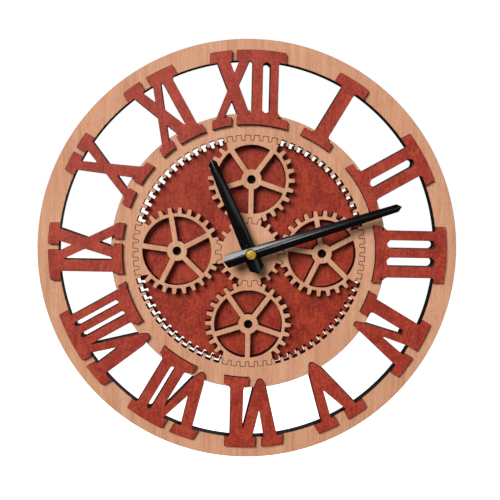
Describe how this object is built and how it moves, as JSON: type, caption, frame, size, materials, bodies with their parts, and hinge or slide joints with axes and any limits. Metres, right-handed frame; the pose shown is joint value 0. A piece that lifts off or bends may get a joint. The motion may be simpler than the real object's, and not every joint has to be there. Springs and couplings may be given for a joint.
{
  "type": "wall clock",
  "caption": "Round wooden wall clock with an open gear-shaped face, Roman numerals bridging two rings, black baton hands and a boxed quartz movement behind.",
  "frame": {"origin": "on the hands' axis, at the flat back of the movement that rests against the wall", "axes": "+Z towards 12 o'clock, +X towards 3 o'clock, +Y into the wall, so the face looks along -Y"},
  "size_m": [0.3, 0.05, 0.3],
  "materials": {
    "light_wood": "satin sanded light wood with charred cut edges",
    "red_wood": "red-brown stained wood, matte, mottled",
    "hands_black": "black lacquered thin sheet",
    "brass": "turned and polished",
    "black_plastic": "fine moulded texture",
    "chip_plastic": "matte epoxy",
    "white_plastic": "natural acetal",
    "gasket_rubber": "matte rubber",
    "steel": "stamped sheet",
    "copper_wire": "enamelled copper winding",
    "circuit_board": "green solder mask",
    "battery_jacket": "printed foil jacket, no text"
  },
  "bodies": {
    "root": {"outer_ring": "light_wood", "gear_ring": "light_wood", "sun_gear": "light_wood", "planet_gear_top": "light_wood", "planet_gear_right": "light_wood", "planet_gear_bottom": "light_wood", "planet_gear_left": "light_wood", "backing_disc": "red_wood", "numeral_1": "red_wood", "numeral_2": "red_wood", "numeral_3": "red_wood", "numeral_4": "red_wood", "numeral_5": "red_wood", "numeral_6": "red_wood", "numeral_7": "red_wood", "numeral_8": "red_wood", "numeral_9": "red_wood", "numeral_10": "red_wood", "numeral_11": "red_wood", "numeral_12": "red_wood", "bridge_1": "light_wood", "bridge_2": "light_wood", "bridge_3": "light_wood", "bridge_4": "light_wood", "bridge_5": "light_wood", "bridge_6": "light_wood", "bridge_7": "light_wood", "bridge_8": "light_wood", "bridge_9": "light_wood", "bridge_10": "light_wood", "bridge_11": "light_wood", "bridge_12": "light_wood", "movement_case": "black_plastic", "back_cover": "black_plastic", "hanger_loop": "black_plastic", "threaded_bushing": "brass", "hex_nut": "brass", "rubber_gasket": "gasket_rubber", "middle_plate": "white_plastic", "circuit_board": "circuit_board", "driver_chip": "chip_plastic", "quartz_crystal": "steel", "coil": "copper_wire", "stator": "steel", "battery": "battery_jacket", "positive_contact": "steel", "negative_contact": "steel"},
    "minute": {"minute_hand": "hands_black", "hand_cap": "brass", "centre_wheel": "brass"},
    "hour": {"hour_hand": "hands_black", "hour_wheel": "white_plastic"},
    "motion_wheel": {"minute_wheel": "white_plastic"},
    "knob": {"set_knob": "black_plastic"},
    "rotor": {"rotor": "steel"},
    "intermediate": {"intermediate_wheel": "white_plastic"},
    "seconds": {"seconds_wheel": "white_plastic"},
    "third": {"third_wheel": "white_plastic"}
  },
  "joints": [
    {"name": "minute_turn", "type": "hinge", "parent": "root", "child": "minute", "pos_m": [0, -0.0448, 0], "axis": [0, 1, 0], "continuous": true},
    {"name": "hour_turn", "type": "hinge", "parent": "root", "child": "hour", "pos_m": [0, -0.0412, 0], "axis": [0, 1, 0], "continuous": true},
    {"name": "motion_wheel_turn", "type": "hinge", "parent": "root", "child": "motion_wheel", "pos_m": [0.01005, -0.009, 0.0058], "axis": [0, 1, 0], "continuous": true},
    {"name": "knob_turn", "type": "hinge", "parent": "root", "child": "knob", "pos_m": [0.00608, -0.0014, 0.0167], "axis": [0, 1, 0], "continuous": true},
    {"name": "rotor_turn", "type": "hinge", "parent": "root", "child": "rotor", "pos_m": [0.01626, -0.0053, -0.00374], "axis": [0, 1, 0], "continuous": true},
    {"name": "intermediate_turn", "type": "hinge", "parent": "root", "child": "intermediate", "pos_m": [0.00951, -0.0035, -0.00255], "axis": [0, 1, 0], "continuous": true},
    {"name": "seconds_turn", "type": "hinge", "parent": "root", "child": "seconds", "pos_m": [0, -0.0025, 0], "axis": [0, 1, 0], "continuous": true},
    {"name": "third_turn", "type": "hinge", "parent": "root", "child": "third", "pos_m": [-0.00931, -0.0038, 0.00537], "axis": [0, 1, 0], "continuous": true}
  ],
  "couplings": [
    {"joint": "hour_turn", "follows": "minute_turn", "ratio": 0.083333},
    {"joint": "motion_wheel_turn", "follows": "minute_turn", "ratio": -0.33333},
    {"joint": "knob_turn", "follows": "minute_turn", "ratio": 1},
    {"joint": "intermediate_turn", "follows": "rotor_turn", "ratio": -0.2},
    {"joint": "seconds_turn", "follows": "rotor_turn", "ratio": 0.033333},
    {"joint": "third_turn", "follows": "rotor_turn", "ratio": -0.0044444}
  ]
}
